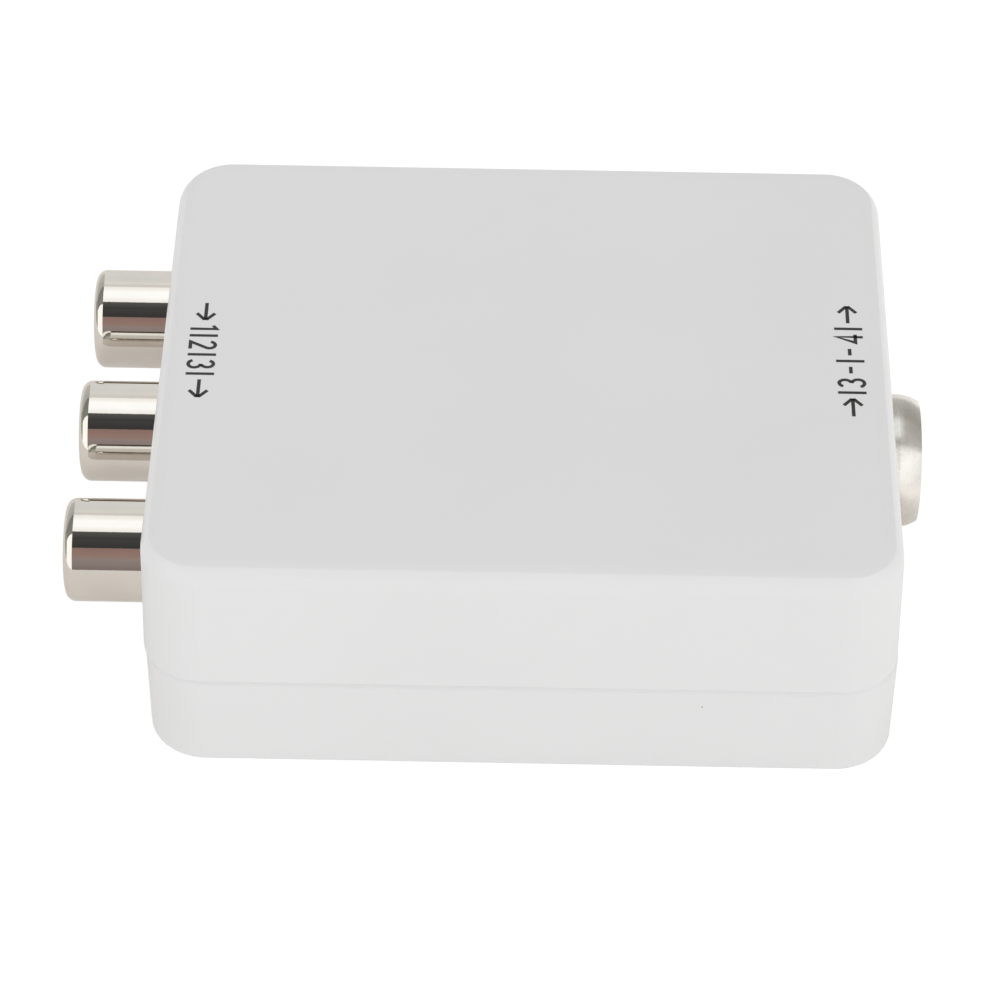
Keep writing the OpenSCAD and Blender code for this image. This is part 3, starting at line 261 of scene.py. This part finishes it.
MATERIALS = {
    "white_abs": white_abs(),
    "board_green": moulded("board_green", (0.02, 0.14, 0.05), 0.35),
    "zinc_steel": plated("zinc_steel", (0.62, 0.62, 0.60), 0.3),
    "black_plastic": moulded("black_plastic", (0.02, 0.02, 0.021), 0.45),
    "bright_nickel": plated("bright_nickel", (0.80, 0.77, 0.72), 0.035, relief_mm=0.0006),
    "satin_nickel": plated(
        "satin_nickel", (0.76, 0.74, 0.70), 0.25, grain_mm=0.45, relief_mm=0.004, spread=0.16),
    "yellow_plastic": moulded("yellow_plastic", (0.80, 0.52, 0.02), 0.3),
    "white_plastic": moulded("white_plastic", (0.78, 0.78, 0.76), 0.3),
    "red_plastic": moulded("red_plastic", (0.45, 0.01, 0.012), 0.3),
    "ivory_plastic": moulded("ivory_plastic", (0.72, 0.69, 0.58), 0.4),
    "gold_brass": plated("gold_brass", (0.85, 0.62, 0.28), 0.2),
    "tinned_sheet": plated("tinned_sheet", (0.70, 0.70, 0.69), 0.32),
    "brown_phenolic": moulded("brown_phenolic", (0.16, 0.06, 0.02), 0.5),
    "slider_black": moulded("slider_black", (0.015, 0.015, 0.016), 0.4),
    "chip_black": moulded("chip_black", (0.018, 0.018, 0.02), 0.5),
    "bare_aluminium": plated("bare_aluminium", (0.80, 0.80, 0.81), 0.3, stretch=(1, 1, 8)),
    "ferrite_grey": moulded("ferrite_grey", (0.05, 0.05, 0.055), 0.6),
    "enamel_wire": plated("enamel_wire", (0.62, 0.22, 0.08), 0.25),
    "ceramic_tan": moulded("ceramic_tan", (0.42, 0.29, 0.17), 0.5),
    "print_ink": moulded(
        "print_ink", (0.022, 0.021, 0.021), 0.5, grain_mm=0.12, relief_mm=0.003, spread=0.25),
}

for subpart in record["subparts"]:
    shown = nodes[subpart["node"]]
    shown.data.materials.clear()
    shown.data.materials.append(MATERIALS[subpart["material_slot"]])


# Print on the roof, in millimetres. Each row has its glyphs, the place where it starts and
# the turn of its baseline in degrees
PRINT_HEIGHT = 2.3
PRINT_STROKE = 0.29
PRINT_PROUD = 0.012
PRINT_SUNK = 0.01
PRINT_GAP = 0.70
ROOF_PRINTS = {
    "jack_print": (
        ("arrow", "1", "tick", "2", "tick", "3", "tick", "arrow"), -27.45, 6.2, -90),
    "aerial_print": (
        ("arrow", "tick", "3", "dash", "tick", "dash", "4", "tick", "arrow"), 27.5, -6.2, 90),
}
ROOF_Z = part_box("top_cover")[1][2] / MM
ARC_STEP = 10
MITRE_LIMIT = 0.5


def arc(x, y, rx, ry, start, end):
    """Points on an ellipse about (x, y), from one angle to another in degrees."""
    count = max(2, round(abs(end - start) / ARC_STEP) + 1)
    turns = [math.radians(start + (end - start) * i / (count - 1)) for i in range(count)]
    return [(x + rx * math.cos(t), y + ry * math.sin(t)) for t in turns]


# Plain numbers, ticks, dashes and arrows in a cell one unit high whose baseline is y = 0.
# Each has its width and its strokes
GLYPHS = {
    "1": (0.22, [[(0.0, 0.80), (0.17, 0.94), (0.17, 0.0)]]),
    "2": (0.40, [arc(0.20, 0.74, 0.17, 0.20, 170, -38) + [(0.03, 0.06), (0.40, 0.06)]]),
    "3": (0.40, [
        arc(0.19, 0.73, 0.17, 0.21, 160, -78),
        arc(0.19, 0.27, 0.19, 0.22, 90, -160),
    ]),
    "4": (0.46, [[(0.33, 0.0), (0.33, 0.94), (0.03, 0.27), (0.46, 0.27)]]),
    "tick": (0.0, [[(0.0, 0.0), (0.0, 1.0)]]),
    "dash": (0.34, [[(0.0, 0.5), (0.34, 0.5)]]),
    "arrow": (0.92, [
        [(0.0, 0.5), (0.92, 0.5)],
        [(0.56, 0.18), (0.90, 0.47)],
        [(0.56, 0.82), (0.90, 0.53)],
    ]),
}


def stroke_mesh(mesh, points, width):
    """Adds one closed flat ribbon along points in the plane z = 0, with mitred corners."""
    half = width / 2
    rings = []
    for i, point in enumerate(points):
        here = Vector(point)
        before = (here - Vector(points[i - 1])).normalized() if i > 0 else None
        after = (Vector(points[i + 1]) - here).normalized() if i < len(points) - 1 else None
        along = ((before or after) + (after or before)).normalized()
        side = Vector((-along.y, along.x))
        cosine = abs(along.dot(after or before))
        reach = half / max(cosine, MITRE_LIMIT)
        ring = []
        for sign, z in ((1, PRINT_PROUD), (-1, PRINT_PROUD), (-1, -PRINT_SUNK), (1, -PRINT_SUNK)):
            spot = here + side * reach * sign
            ring.append(mesh.verts.new((spot.x, spot.y, z)))
        rings.append(ring)
    for first, second in zip(rings, rings[1:]):
        for i in range(4):
            j = (i + 1) % 4
            mesh.faces.new((first[i], first[j], second[j], second[i]))
    mesh.faces.new(rings[0][::-1])
    mesh.faces.new(rings[-1])


def roof_print(name, glyphs, x, y, turn):
    """Lays a row of glyphs on the roof from (x, y) on, its baseline turned in degrees."""
    mesh = bmesh.new()
    pen = 0.0
    for glyph in glyphs:
        width, strokes = GLYPHS[glyph]
        for points in strokes:
            placed = [(pen + px * PRINT_HEIGHT, py * PRINT_HEIGHT) for px, py in points]
            stroke_mesh(mesh, placed, PRINT_STROKE)
        pen += width * PRINT_HEIGHT + PRINT_GAP
    bmesh.ops.recalc_face_normals(mesh, faces=mesh.faces)
    place = Matrix.Translation((x, y, ROOF_Z)) @ Matrix.Rotation(math.radians(turn), 4, "Z")
    bmesh.ops.transform(mesh, matrix=Matrix.Scale(MM, 4) @ place, verts=mesh.verts)
    data = bpy.data.meshes.new(name)
    mesh.to_mesh(data)
    mesh.free()
    data.materials.append(MATERIALS["print_ink"])
    obj = bpy.data.objects.new(name, data)
    bpy.context.scene.collection.objects.link(obj)
    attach(obj, "housing")


for name, row in ROOF_PRINTS.items():
    roof_print(name, *row)


# Floor, cards, lights and world
def mix_shaders(tree, share, first, second):
    """The first shader where share is 0 and the second where it is 1."""
    mixed = add(tree, "ShaderNodeMixShader", {0: share})
    tree.links.new(first.outputs[0], mixed.inputs[1])
    tree.links.new(second.outputs[0], mixed.inputs[2])
    return mixed


def floor():
    """A pale floor that keeps shadows; mirrors see it warmer, and glowing towards +X: a painted
    glint.
    """
    mat = new_material("floor")
    tree = mat.node_tree
    ray = add(tree, "ShaderNodeLightPath")
    plain = add(tree, "ShaderNodeBsdfDiffuse", {"Color": (*FLOOR_COLOUR, 1.0)})
    warm = add(tree, "ShaderNodeBsdfDiffuse", {"Color": (*FLOOR_MIRRORED, 1.0)})
    coords = add(tree, "ShaderNodeTexCoord")
    split = add(tree, "ShaderNodeSeparateXYZ", {0: coords.outputs["Object"]})
    # Painted glint: mirrored rays see the floor glow, more and more between two places along X
    glint_glow = remap(tree, split.outputs["X"], 0.0, FLOOR_GLINT, FLOOR_GLINT_FROM, FLOOR_GLINT_TO)
    glint = add(tree, "ShaderNodeEmission", {"Color": WHITE_LIGHT, "Strength": glint_glow})
    warm_and_glint = add(tree, "ShaderNodeAddShader")
    tree.links.new(warm.outputs[0], warm_and_glint.inputs[0])
    tree.links.new(glint.outputs[0], warm_and_glint.inputs[1])
    dim = times(FLOOR_COLOUR, FLOOR_SEEN_SHARE)
    dimmed = add(tree, "ShaderNodeBsdfDiffuse", {"Color": (*dim, 1.0)})
    glow = add(tree, "ShaderNodeEmission", {"Color": WHITE_LIGHT, "Strength": FLOOR_SEEN_GLOW})
    seen = add(tree, "ShaderNodeAddShader")
    tree.links.new(dimmed.outputs[0], seen.inputs[0])
    tree.links.new(glow.outputs[0], seen.inputs[1])
    mirrored = mix_shaders(tree, ray.outputs["Is Glossy Ray"], plain, warm_and_glint)
    shader_output(tree, mix_shaders(tree, ray.outputs["Is Camera Ray"], mirrored, seen))
    mesh = bpy.data.meshes.new("floor")
    half = FLOOR_SIZE / 2
    corners = [(-half, -half, 0), (half, -half, 0), (half, half, 0), (-half, half, 0)]
    mesh.from_pydata(corners, [], [(0, 1, 2, 3)])
    mesh.materials.append(mat)
    obj = bpy.data.objects.new("floor", mesh)
    bpy.context.scene.collection.objects.link(obj)


def cards():
    """One mesh for all the cards, with their colours on its points."""
    mat = new_material("cards")
    tree = mat.node_tree
    tint = add(tree, "ShaderNodeAttribute", attribute_name="glow")
    shine = add(tree, "ShaderNodeEmission", {"Color": tint.outputs["Color"], "Strength": 1.0})
    shader_output(tree, shine)
    points, faces, colours = [], [], []

    def strip(x0, x1, turns, tones):
        start = len(points)
        for turn, tone in zip(turns, tones):
            y, z = -DRUM_RADIUS * math.cos(turn), DRUM_RADIUS * math.sin(turn)
            points.extend([(x0, y, z), (x1, y, z)])
            colours.extend([tone, tone])
        for i in range(start, len(points) - 2, 2):
            faces.append((i, i + 1, i + 3, i + 2))

    for x0, x1, start, end, first, last in CARDS:
        steps = max(1, round((end - start) / DRUM_STEP))
        shares = [i / steps for i in range(steps + 1)]
        turns = [math.radians(start + (end - start) * share) for share in shares]
        tones = [tuple(a + (b - a) * share for a, b in zip(first, last)) for share in shares]
        strip(x0, x1, turns, tones)
    for x, tone in ((DRUM_LEFT, CAP_LEFT), (DRUM_RIGHT, CAP_RIGHT)):
        start = len(points)
        rim = [math.radians(turn) for turn in range(0, 181, CAP_STEP)]
        points.extend([(x, -DRUM_RADIUS * math.cos(t), DRUM_RADIUS * math.sin(t)) for t in rim])
        colours.extend([tone] * len(rim))
        faces.append(tuple(range(start, len(points))))
    mesh = bpy.data.meshes.new("cards")
    mesh.from_pydata(points, [], faces)
    layer = mesh.attributes.new("glow", "FLOAT_COLOR", "POINT")
    for item, tone in zip(layer.data, colours):
        item.color = (*tone, 1.0)
    mesh.materials.append(mat)
    obj = bpy.data.objects.new("cards", mesh)
    bpy.context.scene.collection.objects.link(obj)
    obj.visible_camera = False
    obj.visible_diffuse = False
    obj.visible_shadow = False
    obj.visible_transmission = False
    obj.visible_volume_scatter = False


def lights():
    """The two soft suns, and a world that is a plain white to the camera."""
    for name, strength, elevation, azimuth in SUNS:
        sun = bpy.data.lights.new(name, "SUN")
        sun.energy = strength
        sun.angle = math.radians(SUN_SOFTNESS)
        obj = bpy.data.objects.new(name, sun)
        bpy.context.scene.collection.objects.link(obj)
        turn, rise = math.radians(azimuth), math.radians(elevation)
        flat = math.cos(rise)
        towards = Vector((math.sin(turn) * flat, -math.cos(turn) * flat, math.sin(rise)))
        obj.rotation_euler = towards.to_track_quat("Z", "Y").to_euler()
    world = bpy.data.worlds.new("studio")
    world.use_nodes = True
    tree = world.node_tree
    tree.nodes.clear()
    ray = add(tree, "ShaderNodeLightPath")
    coords = add(tree, "ShaderNodeTexCoord")
    split = add(tree, "ShaderNodeSeparateXYZ", {0: coords.outputs["Generated"]})
    level = remap(tree, split.outputs["Z"], SKY_HORIZON, SKY_ZENITH, 0.0, 1.0)
    plain = add(tree, "ShaderNodeBackground", {"Color": WHITE_LIGHT, "Strength": level})
    mirrored = add(tree, "ShaderNodeBackground", {"Color": (*SKY_MIRRORED, 1.0), "Strength": 1.0})
    seen = add(tree, "ShaderNodeBackground", {"Color": WHITE_LIGHT, "Strength": 1.0})
    unseen = mix_shaders(tree, ray.outputs["Is Glossy Ray"], plain, mirrored)
    shown = mix_shaders(tree, ray.outputs["Is Camera Ray"], unseen, seen)
    out = add(tree, "ShaderNodeOutputWorld")
    tree.links.new(shown.outputs[0], out.inputs[0])
    bpy.context.scene.world = world


def camera():
    """The camera that took the photograph."""
    yaw, pitch, roll = (math.radians(a) for a in (CAMERA_YAW, CAMERA_PITCH, CAMERA_ROLL))
    flat = math.cos(pitch)
    ahead = Vector((math.sin(yaw) * flat, math.cos(yaw) * flat, -math.sin(pitch)))
    right = ahead.cross(Vector((0, 0, 1))).normalized()
    up = right.cross(ahead)
    right, up = (
        math.cos(roll) * right + math.sin(roll) * up,
        -math.sin(roll) * right + math.cos(roll) * up,
    )
    data = bpy.data.cameras.new("camera")
    data.sensor_width = SENSOR_MM
    data.lens = FOCAL_PX / IMAGE_PX * SENSOR_MM
    data.clip_start = CLIP_START
    data.clip_end = CLIP_END
    obj = bpy.data.objects.new("camera", data)
    bpy.context.scene.collection.objects.link(obj)
    turned = Matrix((right, up, -ahead)).transposed().to_4x4()
    obj.matrix_world = Matrix.Translation(Vector(CAMERA_AT) * MM) @ turned
    bpy.context.scene.camera = obj


floor()
cards()
lights()
camera()
bpy.context.scene.view_settings.view_transform = "Standard"
